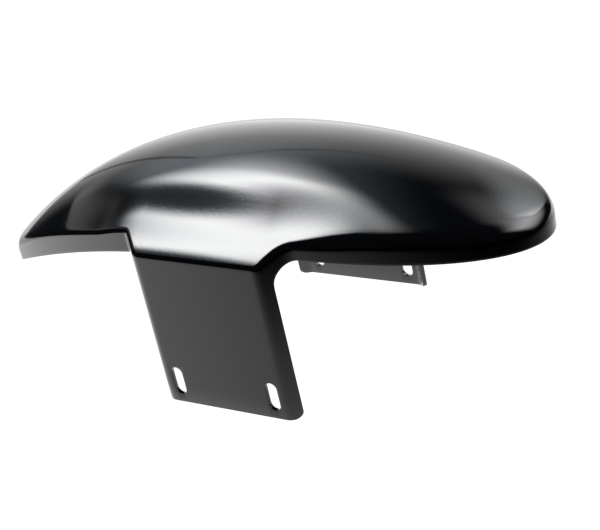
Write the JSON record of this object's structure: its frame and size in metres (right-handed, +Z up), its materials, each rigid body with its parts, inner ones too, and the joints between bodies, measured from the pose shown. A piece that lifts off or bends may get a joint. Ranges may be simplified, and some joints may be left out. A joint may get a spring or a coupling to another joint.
{
  "type": "motorcycle front mudguard",
  "caption": "Short motorcycle front mudguard: an arched, gloss black shell with a rounded nose and tail, and flat side plates with upright slots that bolt between the fork legs.",
  "frame": {"origin": "middle of the four bolt slots, on the middle plane of the wheel", "axes": "+X towards the nose of the mudguard, +Y across the wheel to the left, +Z up along the mounting plates"},
  "size_m": [0.421, 0.185, 0.1635],
  "materials": {
    "gloss_black": "gloss black"
  },
  "bodies": {
    "root": {"mudguard": "gloss_black"}
  },
  "joints": []
}
